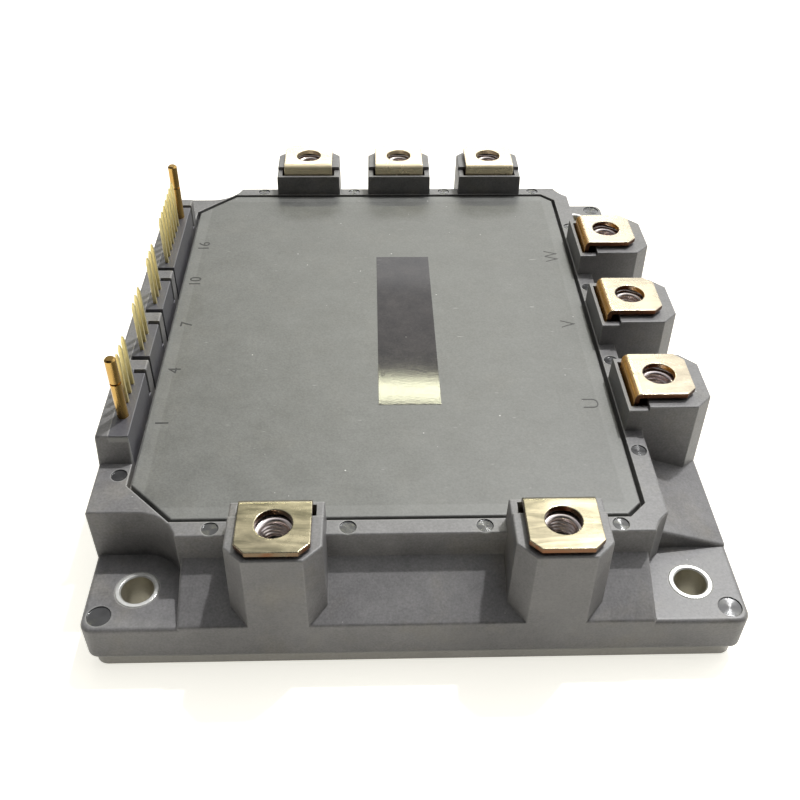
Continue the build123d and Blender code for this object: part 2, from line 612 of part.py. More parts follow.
# Chips: two transistors and two diodes on each substrate. The diodes are on the side towards
# the nearer end of the module.
column_centre_x = substrate_centre_x + CHIP_COLUMN_SHIFT
columns = (column_centre_x - CHIP_COLUMN_PITCH / 2, column_centre_x + CHIP_COLUMN_PITCH / 2)
igbt_places = []
diode_places = []
for centre_y in PHASES.values():
    outward = -1 if centre_y <= 0 else 1
    for column in columns:
        igbt_places.append((column, centre_y - outward * (IGBT_SIZE + CHIP_GAP) / 2))
        diode_places.append((column, centre_y + outward * (DIODE_Y + CHIP_GAP) / 2))
with BuildPart() as igbt_chips:
    with BuildSketch(Plane.XY.offset(SUBSTRATE_TOP)):
        with Locations(*igbt_places):
            Rectangle(IGBT_SIZE, IGBT_SIZE)
    extrude(amount=CHIP_THICKNESS)
igbt_chips.part.label = "igbt_chips"
export_step(igbt_chips.part, "parts/igbt_chips.step")
with BuildPart() as diode_chips:
    with BuildSketch(Plane.XY.offset(SUBSTRATE_TOP)):
        with Locations(*diode_places):
            Rectangle(DIODE_X, DIODE_Y)
    extrude(amount=CHIP_THICKNESS)
diode_chips.part.label = "diode_chips"
export_step(diode_chips.part, "parts/diode_chips.step")

# Control board: rests on the ledges in the cavity's corners.
with BuildPart() as control_board:
    with BuildSketch(Plane.XY.offset(BOARD_BOTTOM)):
        add(inset_opening(LID_LEDGE + BOARD_GAP))
    extrude(amount=BOARD_THICKNESS)
control_board.part.label = "control_board"
export_step(control_board.part, "parts/control_board.step")

# Driver chips: one on the board beside each group of control pins.
driver_x = CARRIER_FOOT_END_X + PIN_TAIL + DRIVER_GAP + DRIVER_X / 2
driver_places = [(driver_x, grid_y(first + (count - 1) / 2)) for number, first, count in PIN_GROUPS]
with BuildPart() as driver_chips:
    with BuildSketch(Plane.XY.offset(BOARD_TOP)):
        with Locations(*driver_places):
            Rectangle(DRIVER_X, DRIVER_Y)
    extrude(amount=DRIVER_THICKNESS)
driver_chips.part.label = "driver_chips"
export_step(driver_chips.part, "parts/driver_chips.step")

# Link pins: upright wires that carry the gate signals from the board to the substrates.
with BuildPart() as link_pins:
    with BuildSketch(Plane.XY.offset(SUBSTRATE_TOP)):
        with Locations(*[(x - LINK_PIN_SETBACK, y) for x in columns for y in PHASES.values()]):
            with GridLocations(0, LINK_PIN_PITCH, 1, 2):
                Rectangle(LINK_PIN_SIZE, LINK_PIN_SIZE)
    extrude(amount=BOARD_BOTTOM - SUBSTRATE_TOP)
link_pins.part.label = "link_pins"
export_step(link_pins.part, "parts/link_pins.step")

# Gel: poured round everything on the base plate, up to a level below the board.
with BuildPart() as gel:
    with BuildSketch(Plane.XY.offset(BASE_THICKNESS)):
        add(inset_opening(LID_LEDGE))
    extrude(amount=GEL_DEPTH)
    for buried in (case, igbt_chips, diode_chips, link_pins):
        add(buried.part, mode=Mode.SUBTRACT)
    for buried in (*substrates, *terminals.values()):
        add(buried, mode=Mode.SUBTRACT)
gel.part.label = "gel"
export_step(gel.part, "parts/gel.step")
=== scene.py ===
import math

import bpy
import numpy as np
from mathutils import Matrix, Vector


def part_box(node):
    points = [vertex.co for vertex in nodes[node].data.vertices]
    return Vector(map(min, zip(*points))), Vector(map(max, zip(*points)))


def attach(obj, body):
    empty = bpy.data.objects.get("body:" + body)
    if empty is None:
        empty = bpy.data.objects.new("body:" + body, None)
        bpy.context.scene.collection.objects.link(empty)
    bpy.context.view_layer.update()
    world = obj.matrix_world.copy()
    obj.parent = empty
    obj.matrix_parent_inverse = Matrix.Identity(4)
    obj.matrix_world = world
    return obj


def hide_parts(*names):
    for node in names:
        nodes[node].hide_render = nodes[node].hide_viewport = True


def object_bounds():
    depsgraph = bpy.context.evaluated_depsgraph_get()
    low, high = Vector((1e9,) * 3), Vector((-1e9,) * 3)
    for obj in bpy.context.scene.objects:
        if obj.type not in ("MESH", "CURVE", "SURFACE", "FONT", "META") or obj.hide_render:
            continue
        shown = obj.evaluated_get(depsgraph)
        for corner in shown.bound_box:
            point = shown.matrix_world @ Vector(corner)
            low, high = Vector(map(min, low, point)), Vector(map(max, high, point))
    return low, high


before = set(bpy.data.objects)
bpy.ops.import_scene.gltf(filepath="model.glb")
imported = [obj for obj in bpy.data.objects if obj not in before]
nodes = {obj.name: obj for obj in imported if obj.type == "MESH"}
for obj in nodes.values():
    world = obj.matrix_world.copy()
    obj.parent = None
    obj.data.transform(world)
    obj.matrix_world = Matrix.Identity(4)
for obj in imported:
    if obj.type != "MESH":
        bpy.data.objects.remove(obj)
cad_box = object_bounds()


# Base plate: a flat rolled plate of nickel-plated copper that carries the whole module and
# presses on the heatsink. Its upper face is soldered and glued to the parts above it.

def feed(tree, node, inputs):
    """Gives each named input of a node its value, or a link where the value is a socket."""
    for name, value in inputs.items():
        if isinstance(value, bpy.types.NodeSocket):
            tree.links.new(value, node.inputs[name])
        else:
            node.inputs[name].default_value = value


def add(tree, kind, inputs, **settings):
    """A new node in a shader tree, with its settings and its inputs."""
    node = tree.nodes.new(kind)
    for name, value in settings.items():
        setattr(node, name, value)
    feed(tree, node, inputs)
    return node


def maths(tree, operation, *values):
    """One arithmetic step on sockets or numbers, as an output socket."""
    return add(tree, "ShaderNodeMath", dict(enumerate(values)), operation=operation).outputs[0]


def mix(tree, share, first, second, how="MIX"):
    """Two colours mixed by a share from 0 to 1, or blended another way, as an output socket."""
    inputs = {"Fac": share, "Color1": first, "Color2": second}
    return add(tree, "ShaderNodeMixRGB", inputs, blend_type=how).outputs[0]


def spot_on(tree):
    """The place on the object, in metres, as an output socket."""
    return add(tree, "ShaderNodeTexCoord", {}).outputs["Object"]


def tone(code):
    """A colour written as six hex digits, as the four linear numbers that a shader takes: each
    channel c above 0.04 becomes ((c + 0.055) / 1.055) to the power 2.4."""
    parts = np.array([int(code[i:i + 2], 16) for i in (0, 2, 4)]) / 255
    linear = np.where(parts > 0.04045, ((parts + 0.055) / 1.055) ** 2.4, parts / 12.92)
    return (*linear.tolist(), 1.0)


def finish(name, **values):
    """A new material with one Principled shader that has the given plain values. The keys are
    the shader's input names in lower case with underscores."""
    material = bpy.data.materials.new(name)
    material.use_nodes = True
    tree = material.node_tree
    shader = tree.nodes["Principled BSDF"]
    for key, value in values.items():
        shader.inputs[key.replace("_", " ").title().replace("Ior", "IOR")].default_value = value
    return material, tree, shader


def dress(material, *names):
    """Gives a material to every slot of the named CAD nodes."""
    for name in names:
        mesh = nodes[name].data
        if not mesh.materials:
            mesh.materials.append(material)
        for index in range(len(mesh.materials)):
            mesh.materials[index] = material


def group(name, inputs, outputs):
    """A new shader node group, whose inputs are numbers with defaults and whose outputs have
    the given socket types. Gives the group, its input node and its output node."""
    tree = bpy.data.node_groups.new(name, "ShaderNodeTree")
    for label, default in inputs.items():
        socket = tree.interface.new_socket(label, in_out="INPUT", socket_type="NodeSocketFloat")
        socket.default_value = default
    for label, kind in outputs.items():
        tree.interface.new_socket(label, in_out="OUTPUT", socket_type=kind)
    return tree, tree.nodes.new("NodeGroupInput"), tree.nodes.new("NodeGroupOutput")


def place(tree, made, inputs):
    """Puts a node group into a material's tree, with its inputs."""
    return add(tree, "ShaderNodeGroup", inputs, node_tree=made)


# grain: fine speckle and broad cloudiness, both in cells per metre. Shade is 1 plus Depth times
# how far the sum of the two noises lies from its middle.
grain, grain_in, grain_out = group(
    "surface_grain", {"Fine": 3000.0, "Broad": 60.0, "Depth": 0.1},
    {"Shade": "NodeSocketFloat", "Cloud": "NodeSocketFloat", "Height": "NodeSocketFloat"})
spot = spot_on(grain)
fine = add(grain, "ShaderNodeTexNoise", {
    "Vector": spot, "Scale": grain_in.outputs["Fine"], "Detail": 3.0}).outputs["Fac"]
broad = add(grain, "ShaderNodeTexNoise", {
    "Vector": spot, "Scale": grain_in.outputs["Broad"], "Detail": 6.0,
    "Roughness": 0.68}).outputs["Fac"]
centred = maths(grain, "SUBTRACT", maths(grain, "ADD", fine, broad), 1.0)
feed(grain, grain_out, {
    "Shade": maths(grain, "MULTIPLY_ADD", centred, grain_in.outputs["Depth"], 1.0),
    "Cloud": broad, "Height": fine})


def speckled(name, code, fine, broad, depth, **values):
    """A material of one colour, speckled by the grain, with any plain shader values."""
    material, tree, shader = finish(name, **values)
    speckle = place(tree, grain, {"Fine": fine, "Broad": broad, "Depth": depth})
    feed(tree, shader, {
        "Base Color": mix(tree, 1.0, tone(code), speckle.outputs["Shade"], "MULTIPLY")})
    return material


# Painted shade: the nickel is given a darker grey than bare nickel, standing in for the shadow
# under the case's edge.
base_metal = speckled("base_metal", "8E8C88", fine=1800.0, broad=90.0, depth=0.35,
                      metallic=0.9, roughness=0.38)
dress(base_metal, "base_plate")


# Power circuit: copper-faced ceramic tiles soldered to the base plate, with bare silicon chips
# on them, upright link wires, and the control board above. The tiles and chips lie in clear gel.

ceramic = speckled("substrate_ceramic", "C98F66", fine=2500.0, broad=120.0, depth=0.3,
                   metallic=0.85, roughness=0.35)
silicon = speckled("chip_silicon", "74767C", fine=4000.0, broad=300.0, depth=0.2,
                   metallic=0.6, roughness=0.2)
board = speckled("board_green", "1F5A35", fine=1500.0, broad=200.0, depth=0.25,
                 roughness=0.45)
epoxy = speckled("driver_epoxy", "2B2B2D", fine=3500.0, broad=200.0, depth=0.3,
                 roughness=0.55)
gel = speckled("gel_silicone", "C9CCC4", fine=700.0, broad=50.0, depth=0.15,
               roughness=0.12)
dress(ceramic, "substrate_u", "substrate_v", "substrate_w")
dress(silicon, "igbt_chips", "diode_chips")
dress(board, "control_board")
dress(epoxy, "driver_chips")
dress(gel, "gel")


# Case: one injection moulding in black glass-filled plastic, with a fine sparked texture, round
# smooth marks where the ejector pins pushed, and dust from handling. Its corners are painted
# paler, a painted highlight where rounded edges catch the light.

PLASTIC_IOR = 1.75
PLASTIC_FINE, PLASTIC_BROAD = 2600.0, 150.0
PLASTIC_ROUGH = (0.42, 0.5)
EDGE_HIGHLIGHT_SHARE = 0.65
SMUDGE_SCALE = 95.0
SMUDGE_TONE, DUST_TONE, MARK_TONE = "857F70", "DADAD4", "3C3C3D"

# Ejector marks: where their centres lie on the part's own axes, their radii, and the turned
# rings of the pin's face, in radians per metre.
MARK_CORNER = (0.0521, 0.0651)
MARK_END_PITCH, MARK_END_Y = 0.0226, 0.05605
MARK_SIDE_PITCH, MARK_SIDE_X = 0.0258, 0.04065
MARK_PINS = (-0.051, -0.0435)
MARK_SMALL_R, MARK_LARGE_R = 0.0014, 0.002
MARK_RINGS = 45000.0
MARK_RING_DEPTH = 0.22
MARK_ROUGH = 0.2

# Dust: specks to a metre, how far one reaches in its cell, and the fibres' cells to a metre.
SPECK_SCALE = 420.0
SPECK_REACH = 0.085
SPECK_FADE = 0.04
FIBRE_SCALE = (260.0, 1900.0, 260.0)
FIBRE_TURN = (0.0, 0.0, 0.6)


def ranged(tree, value, low, high, start, end, **settings):
    """A value moved from the span low to high onto the span start to end, and held at its ends,
    as an output socket."""
    inputs = {"Value": value, "From Min": low, "From Max": high, "To Min": start, "To Max": end}
    return add(tree, "ShaderNodeMapRange", inputs, **settings).outputs[0]


def facing_up(tree):
    """How far the surface faces up, from -1 to 1, as an output socket."""
    normal = add(tree, "ShaderNodeNewGeometry", {}).outputs["Normal"]
    return add(tree, "ShaderNodeSeparateXYZ", {"Vector": normal}).outputs["Z"]


def folded(tree, value, *folds):
    """Folds a coordinate about each number in turn: it becomes its distance from that number,
    so places repeated either side of the folds come down to one place."""
    for fold in folds:
        value = maths(tree, "ABSOLUTE", maths(tree, "SUBTRACT", value, fold))
    return value


# edges: Edge is 1 where a ray sent inwards soon leaves the solid, which is along its corners, and
# Normal is the surface's direction averaged over the width, so a corner reads as rounded. The
# moulded plastics use Edge to paint their corners paler, a painted highlight.
edges, edges_in, edges_out = group(
    "edge_highlight_and_bevel", {"Width": 0.0003}, {"Edge": "NodeSocketFloat", "Normal": "NodeSocketVector"})
inward = add(edges, "ShaderNodeAmbientOcclusion", {"Distance": edges_in.outputs["Width"]},
             inside=True, only_local=True, samples=8)
rounded = add(edges, "ShaderNodeBevel", {"Radius": edges_in.outputs["Width"]}, samples=6)
feed(edges, edges_out, {
    "Edge": ranged(edges, inward.outputs["AO"], 0.95, 0.58, 0.0, 1.0),
    "Normal": rounded.outputs["Normal"]})

# dust: sparse pale specks from cell centres, and short fibres where stretched noise peaks, on
# faces that look up. Amount sets how strongly both show.
dust, dust_in, dust_out = group("settled_dust", {"Amount": 0.5}, {"Dust": "NodeSocketFloat"})
spot = spot_on(dust)
cells = add(dust, "ShaderNodeTexVoronoi", {
    "Vector": spot, "Scale": SPECK_SCALE, "Randomness": 1.0})
pick = add(dust, "ShaderNodeSeparateColor", {"Color": cells.outputs["Color"]})
reach = ranged(dust, pick.outputs["Red"], 0.6, 1.0, 0.0, SPECK_REACH)
near = maths(dust, "SUBTRACT", reach, cells.outputs["Distance"])
speck = ranged(dust, near, 0.0, SPECK_FADE, 0.0, 1.0)
slanted = add(dust, "ShaderNodeMapping", {
    "Vector": spot, "Rotation": FIBRE_TURN, "Scale": FIBRE_SCALE})
streak = add(dust, "ShaderNodeTexNoise", {
    "Vector": slanted.outputs["Vector"], "Scale": 1.0, "Detail": 2.0})
fibre = ranged(dust, streak.outputs["Fac"], 0.76, 0.82, 0.0, 0.6)
lying = ranged(dust, facing_up(dust), 0.2, 0.8, 0.15, 1.0)
kept = maths(dust, "MULTIPLY", maths(dust, "MAXIMUM", speck, fibre), lying)
feed(dust, dust_out, {"Dust": maths(dust, "MULTIPLY", kept, dust_in.outputs["Amount"])})

# marks: the distance to the nearest ejector mark, from coordinates folded about the part's own
# axes. Disc is 1 inside a mark, and Rings is the turning lines of the pin's face.
marks, marks_in, marks_out = group(
    "ejector_marks", {"Small": MARK_SMALL_R, "Large": MARK_LARGE_R},
    {"Disc": "NodeSocketFloat", "Rings": "NodeSocketFloat"})
axes = add(marks, "ShaderNodeSeparateXYZ", {"Vector": spot_on(marks)})
x, y = axes.outputs["X"], axes.outputs["Y"]
centres = [
    (folded(marks, x, 0.0, MARK_CORNER[0]), folded(marks, y, 0.0, MARK_CORNER[1]), "Large"),
    (folded(marks, x, 0.0, MARK_END_PITCH, MARK_END_PITCH / 2),
     folded(marks, y, 0.0, MARK_END_Y), "Small"),
    (folded(marks, x, MARK_SIDE_X),
     folded(marks, y, 0.0, MARK_SIDE_PITCH, MARK_SIDE_PITCH / 2), "Small"),
    (folded(marks, x, MARK_PINS[0]), folded(marks, y, MARK_PINS[1]), "Small")]
disc = rings = None
for across, along, size in centres:
    flat = add(marks, "ShaderNodeCombineXYZ", {"X": across, "Y": along})
    length = add(marks, "ShaderNodeVectorMath", {0: flat.outputs[0]},
                 operation="LENGTH").outputs["Value"]
    inside = maths(marks, "LESS_THAN", length, marks_in.outputs[size])
    ring = maths(marks, "SINE", maths(marks, "MULTIPLY", length, MARK_RINGS))
    shown = maths(marks, "MULTIPLY", maths(marks, "MULTIPLY", ring, MARK_RING_DEPTH), inside)
    disc = inside if disc is None else maths(marks, "MAXIMUM", disc, inside)
    rings = shown if rings is None else maths(marks, "ADD", rings, shown)
feed(marks, marks_out, {"Disc": disc, "Rings": rings})


def moulded(name, plain, pale, edge_highlight_tone, specks, smudges, width, depth, marked=False):
    """A moulded plastic: cloudy between two near colours, speckled by its texture to a depth,
    smudged by handling, painted paler along its edges to a width as a painted highlight, paler
    under specks of dust, with smooth ejector marks if it has any."""
    material, tree, shader = finish(name, ior=PLASTIC_IOR)
    speckle = place(tree, grain, {"Fine": PLASTIC_FINE, "Broad": PLASTIC_BROAD, "Depth": depth})
    cloud = speckle.outputs["Cloud"]
    blots = add(tree, "ShaderNodeTexNoise", {
        "Vector": spot_on(tree), "Scale": SMUDGE_SCALE, "Detail": 4.0, "Roughness": 0.6})
    smudge = ranged(tree, blots.outputs["Fac"], 0.52, 0.72, 0.0, smudges)
    handled = mix(tree, smudge, mix(tree, cloud, tone(plain), tone(pale)), tone(SMUDGE_TONE))
    textured = mix(tree, 1.0, handled, speckle.outputs["Shade"], "MULTIPLY")
    edge_node = place(tree, edges, {"Width": width})
    # Painted highlight: the corners are mixed towards a pale tone, as if they caught the light.
    share = maths(tree, "MULTIPLY", edge_node.outputs["Edge"], EDGE_HIGHLIGHT_SHARE)
    edge_highlighted = mix(tree, share, textured, tone(edge_highlight_tone))
    dusty = place(tree, dust, {"Amount": specks})
    colour = mix(tree, dusty.outputs["Dust"], edge_highlighted, tone(DUST_TONE))
    rough = ranged(tree, cloud, 0.3, 0.7, *PLASTIC_ROUGH)
    height = speckle.outputs["Height"]
    if marked:
        pressed = place(tree, marks, {})
        disc = pressed.outputs["Disc"]
        rough = ranged(tree, disc, 0.0, 1.0, rough, MARK_ROUGH)
        height = mix(tree, disc, height, pressed.outputs["Rings"])
        colour = mix(tree, disc, colour, tone(MARK_TONE))
    relief = add(tree, "ShaderNodeBump", {
        "Strength": 0.6, "Distance": 0.00003, "Height": height,
        "Normal": edge_node.outputs["Normal"]})
    feed(tree, shader, {
        "Base Color": colour, "Roughness": rough, "Normal": relief.outputs["Normal"]})
    return material


case_plastic = moulded("case_plastic", "6A686A", "797877", "ACACA8", specks=0.6,
                       smudges=0.4, width=0.0003, depth=0.9, marked=True)
dress(case_plastic, "case")


# Pin carriers: four black moulded inserts that hold the control pins and drop into the wall on
# the left from above, their tops flush with it.

carrier_plastic = moulded("carrier_plastic", "45444A", "545358", "86868C", specks=0.3,
                          smudges=0.2, width=0.0002, depth=0.7)
dress(carrier_plastic, "pin_carrier_01_03", "pin_carrier_04_06", "pin_carrier_07_09",
      "pin_carrier_10_16")


# Bushes: four short tubes turned from steel and nickel plated, pressed into the mounting holes so
# that the screws clamp metal. Faces that look up are painted bright and the bore darker: painted
# light and shade.

nickel, tree, shader = finish("bush_nickel", metallic=0.55, roughness=0.28)
speckle = place(tree, grain, {"Fine": 2200.0, "Broad": 260.0, "Depth": 0.25})
# Painted light and shade: the rim, which looks up, gets the bright tone and the bore the darker
# one.
top = ranged(tree, facing_up(tree), 0.3, 0.8, 0.0, 1.0)
plating = mix(tree, top, tone("C2BDAC"), tone("F4F4F0"))
edge_node = place(tree, edges, {"Width": 0.00015})
feed(tree, shader, {
    "Base Color": mix(tree, 1.0, plating, speckle.outputs["Shade"], "MULTIPLY"),
    "Normal": edge_node.outputs["Normal"]})
dress(nickel, "bush_front_left", "bush_back_left", "bush_front_right", "bush_back_right")


# Lid: a flat moulded plate pressed into the frame on a bead of adhesive. A plain band runs round
# its edge, and the terminal letters and pin numbers stand up a little from its face.

LID_BAND = 0.0025
LID_BAND_FADE = 0.0003
LID_BAND_SHARE = 0.12
LETTER_RISE = 0.00004
LETTER_THINNED = 0.0001
NUMBER_HEIGHT, LETTER_HEIGHT = 0.0036, 0.0046
PIN_NUMBERS = {"1": (-0.0457, -0.0301), "4": (-0.0457, -0.0148), "7": (-0.0455, 0.0004),
               "10": (-0.0458, 0.0162), "16": (-0.0457, 0.0308)}
OUTPUT_LETTERS = {"U": (0.0344, -0.0257), "V": (0.0342, -0.0004), "W": (0.0345, 0.0257)}

lid_low, lid_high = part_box("lid")
lid_plastic = moulded("lid_plastic", "5E5F5C", "656662", "969692", specks=1.0,
                      smudges=0.08, width=0.0002, depth=0.85)
tree = lid_plastic.node_tree
shader = tree.nodes["Principled BSDF"]
axes = add(tree, "ShaderNodeSeparateXYZ", {"Vector": spot_on(tree)})
middle = (lid_low.x + lid_high.x) / 2
side_gap = maths(tree, "SUBTRACT", lid_high.x - middle, folded(tree, axes.outputs["X"], middle))
end_gap = maths(tree, "SUBTRACT", lid_high.y, folded(tree, axes.outputs["Y"], 0.0))
nearest = maths(tree, "MINIMUM", side_gap, end_gap)
band = ranged(tree, nearest, LID_BAND, LID_BAND + LID_BAND_FADE, LID_BAND_SHARE, 0.0)
without_band = shader.inputs["Base Color"].links[0].from_socket
feed(tree, shader, {"Base Color": mix(tree, band, without_band, tone("A3A3A1"))})
dress(lid_plastic, "lid")

letter_plastic = speckled("letter_plastic", "40403F", fine=2600.0, broad=90.0, depth=0.3,
                          roughness=0.5)


def lettering(name, words, x, y, height, thinned):
    """Words laid flat on the lid, read from the right-hand side, as one mesh: the outline of the
    built-in face, thinned, raised by LETTER_RISE and centred on (x, y)."""
    curve = bpy.data.curves.new(name, "FONT")
    curve.body = words
    curve.size = height
    curve.offset = -thinned
    curve.extrude = LETTER_RISE
    curve.align_x = "CENTER"
    curve.align_y = "CENTER"
    sketch = bpy.data.objects.new(name + "_sketch", curve)
    bpy.context.scene.collection.objects.link(sketch)
    bpy.context.view_layer.update()
    mesh = bpy.data.meshes.new_from_object(
        sketch.evaluated_get(bpy.context.evaluated_depsgraph_get()))
    bpy.data.objects.remove(sketch)
    mesh.transform(Matrix.Translation((x, y, lid_high.z)) @ Matrix.Rotation(math.pi / 2, 4, "Z"))
    mesh.materials.clear()
    mesh.materials.append(letter_plastic)
    piece = bpy.data.objects.new(name, mesh)
    bpy.context.scene.collection.objects.link(piece)
    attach(piece, "root")


for words, (x, y) in PIN_NUMBERS.items():
    lettering("pin_number_" + words, words, x, y, NUMBER_HEIGHT, 0.0)
for words, (x, y) in OUTPUT_LETTERS.items():
    lettering("output_letter_" + words.lower(), words, x, y, LETTER_HEIGHT, LETTER_THINNED)


# Label: a strip of thin glossy dark film stuck down the middle of the lid, left without print.
# Small bubbles and dust under it make its shine uneven.

film, tree, shader = finish("label_gloss")
speckle = place(tree, grain, {"Fine": 2600.0, "Broad": 160.0, "Depth": 0.6})
cloudy = mix(tree, speckle.outputs["Cloud"], tone("38383B"), tone("565250"))
textured = mix(tree, 1.0, cloudy, speckle.outputs["Shade"], "MULTIPLY")
dusty = place(tree, dust, {"Amount": 0.6})
relief = add(tree, "ShaderNodeBump", {
    "Strength": 0.35, "Distance": 0.00001, "Height": speckle.outputs["Height"]})
feed(tree, shader, {
    "Base Color": mix(tree, dusty.outputs["Dust"], textured, tone("C9C9C2")),
    "Roughness": ranged(tree, speckle.outputs["Height"], 0.3, 0.7, 0.03, 0.08),
    "Normal": relief.outputs["Normal"]})
dress(film, "label_film")


# Terminal plates: copper strip, stamped, bent over its block and plated pale. The plating is
# scratched and wiped into streaks on top, and the cut edges show copper, darkened as painted
# shade.

FRONT_TERMINALS = ["front_left", "front_right"]
BACK_TERMINALS = ["back_left", "back_middle", "back_right"]
OUTPUT_TERMINALS = ["output_u", "output_v", "output_w"]
SHADED_COPPER_TONE, SMEAR_TONE = "70452A", "6E6A58"
SMEAR_SCALE, SMEAR_TURN = (70.0, 420.0, 70.0), (0.0, 0.0, -0.25)
SCRATCH_SCALE, SCRATCH_TURN = (220.0, 2600.0, 220.0), (0.0, 0.0, 0.5)


def plated(name, bend_faces, dull, bright, bend_glint, shine, smears):
    """The plating of one kind of terminal, mottled between two tones. It covers the top and the
    outer face of the bend, whose direction is given; that face is painted a third tone, a painted
    glint where the bend would catch the light. The other faces are cut edges of bare copper,
    darkened as painted shade. Shine is the metallic value: worn plating scatters more light.
    Smears is how strongly wiped streaks of a dull film show."""
    material, tree, shader = finish(name, metallic=shine)
    speckle = place(tree, grain, {"Fine": 1500.0, "Broad": 120.0, "Depth": 0.12})
    cloud = speckle.outputs["Cloud"]
    normal = add(tree, "ShaderNodeNewGeometry", {}).outputs["Normal"]
    outward = add(tree, "ShaderNodeVectorMath", {0: normal, 1: bend_faces},
                  operation="DOT_PRODUCT").outputs["Value"]
    covered = maths(tree, "MAXIMUM", facing_up(tree), outward)
    cover = ranged(tree, covered, 0.1, 0.5, 0.0, 1.0)
    leaning = ranged(tree, outward, 0.25, 0.75, 0.0, 1.0)
    stained = mix(tree, cloud, tone(dull), tone(bright))
    # Painted glint: the outer face of the bend gets its own tone, as if it caught the light.
    stretched = mix(tree, leaning, stained, tone(bend_glint))
    # Painted shade: the cut edges get a darkened copper tone.
    metal = mix(tree, cover, tone(SHADED_COPPER_TONE), stretched)
    textured = mix(tree, 1.0, metal, speckle.outputs["Shade"], "MULTIPLY")
    spot = spot_on(tree)
    wiped = add(tree, "ShaderNodeMapping", {
        "Vector": spot, "Rotation": SMEAR_TURN, "Scale": SMEAR_SCALE})
    streaks = add(tree, "ShaderNodeTexNoise", {
        "Vector": wiped.outputs["Vector"], "Scale": 1.0, "Detail": 5.0, "Roughness": 0.6,
        "Distortion": 1.2})
    smear = ranged(tree, streaks.outputs["Fac"], 0.38, 0.72, 0.0, smears)
    slanted = add(tree, "ShaderNodeMapping", {
        "Vector": spot, "Rotation": SCRATCH_TURN, "Scale": SCRATCH_SCALE})
    scratch = add(tree, "ShaderNodeTexNoise", {
        "Vector": slanted.outputs["Vector"], "Scale": 1.0, "Detail": 3.0})
    edge_node = place(tree, edges, {"Width": 0.0002})
    relief = add(tree, "ShaderNodeBump", {
        "Strength": 0.25, "Distance": 0.00001, "Height": scratch.outputs["Fac"],
        "Normal": edge_node.outputs["Normal"]})
    feed(tree, shader, {
        "Base Color": mix(tree, smear, textured, tone(SMEAR_TONE)),
        "Roughness": ranged(tree, cloud, 0.35, 0.65, 0.18, 0.32),
        "Normal": relief.outputs["Normal"]})
    return material


dress(plated("front_plating", (0.0, 1.0, 0.0), "AAA086", "CCC2A8", "AAA086", shine=1.0,
             smears=1.0), *["terminal_" + name for name in FRONT_TERMINALS])
dress(plated("back_plating", (0.0, -1.0, 0.0), "F0DCB6", "FAEED2", "FFF0C8", shine=0.45,
             smears=0.2), *["terminal_" + name for name in BACK_TERMINALS])
dress(plated("output_plating", (-1.0, 0.0, 0.0), "D2C6B0", "DAD0BC", "FFC064", shine=0.8,
             smears=0.25), *["terminal_" + name for name in OUTPUT_TERMINALS])


# Nuts: plated steel hexagon nuts, one loose in the hexagon hole of each block under its plate,
# with a countersunk mouth and a rolled thread that the terminal screw takes.

NUT_THREAD_ROOT = 0.0025
NUT_THREAD_CREST = 0.0021
NUT_MOUTH = 0.0026
NUT_PITCH = 0.0008
NUT_EDGE = 0.00025
NUT_CORNER_LIMIT = 1.12
NUT_STEPS_ROUND = 96
NUT_STEPS_PER_TURN = 14


def grid_faces(rows, columns):
    """Four-sided faces between neighbouring points of a grid that closes on itself both ways."""
    row, column = np.meshgrid(np.arange(rows), np.arange(columns), indexing="ij")
    below = (row + 1) % rows
    beside = (column + 1) % columns
    return np.stack([row * columns + column, row * columns + beside,
                     below * columns + beside, below * columns + column], -1).reshape(-1, 4)


def grid_mesh(name, points, faces, material):
    """A smooth-shaded mesh object from an array of points and an array of four-sided faces."""
    mesh = bpy.data.meshes.new(name)
    mesh.from_pydata(points.reshape(-1, 3).tolist(), [], faces.tolist())
    mesh.materials.append(material)
    mesh.polygons.foreach_set("use_smooth", np.ones(len(faces), bool))
    piece = bpy.data.objects.new(name, mesh)
    bpy.context.scene.collection.objects.link(piece)
    return piece


def nut_points(low, high):
    """A hexagon nut as a closed profile carried round its axis. Outside, the radius is half the
    width across flats over the cosine of the angle from the nearest flat's middle. In the bore
    it swings between crest and root as the cosine of height over pitch less turns made."""
    centre = (low + high) / 2
    size = high - low
    half_flats = min(size.x, size.y) / 2
    turn = np.linspace(0, 2 * np.pi, NUT_STEPS_ROUND, endpoint=False)
    first_flat = np.pi / 6 if size.x > size.y else 0
    from_flat = (turn - first_flat + np.pi / 6) % (np.pi / 3) - np.pi / 6
    hexagon = half_flats / np.cos(from_flat)
    round_off = np.minimum(hexagon, half_flats * NUT_CORNER_LIMIT)
    bottom, top = low.z, high.z
    mouth = NUT_MOUTH - NUT_THREAD_CREST
    levels = np.arange(bottom + mouth, top - mouth, NUT_PITCH / NUT_STEPS_PER_TURN)
    phase = levels[:, None] / NUT_PITCH - turn / (2 * np.pi)
    wave = 0.5 + 0.5 * np.cos(2 * np.pi * phase)
    fade = np.minimum(1, np.minimum(levels - levels[0], levels[-1] - levels) / (NUT_PITCH / 2))
    bore = NUT_THREAD_CREST + (NUT_THREAD_ROOT - NUT_THREAD_CREST) * wave * fade[:, None]
    flat = np.ones(NUT_STEPS_ROUND)
    radii = np.vstack([bore, NUT_MOUTH * flat, (half_flats - NUT_EDGE) * flat,
                       round_off, hexagon, hexagon, round_off,
                       (half_flats - NUT_EDGE) * flat, NUT_MOUTH * flat])
    heights = np.concatenate([levels, [top, top, top - NUT_EDGE, top - 2 * NUT_EDGE,
                                       bottom + 2 * NUT_EDGE, bottom + NUT_EDGE, bottom, bottom]])
    return np.stack([centre.x + radii * np.cos(turn), centre.y + radii * np.sin(turn),
                     np.broadcast_to(heights[:, None], radii.shape)], -1)


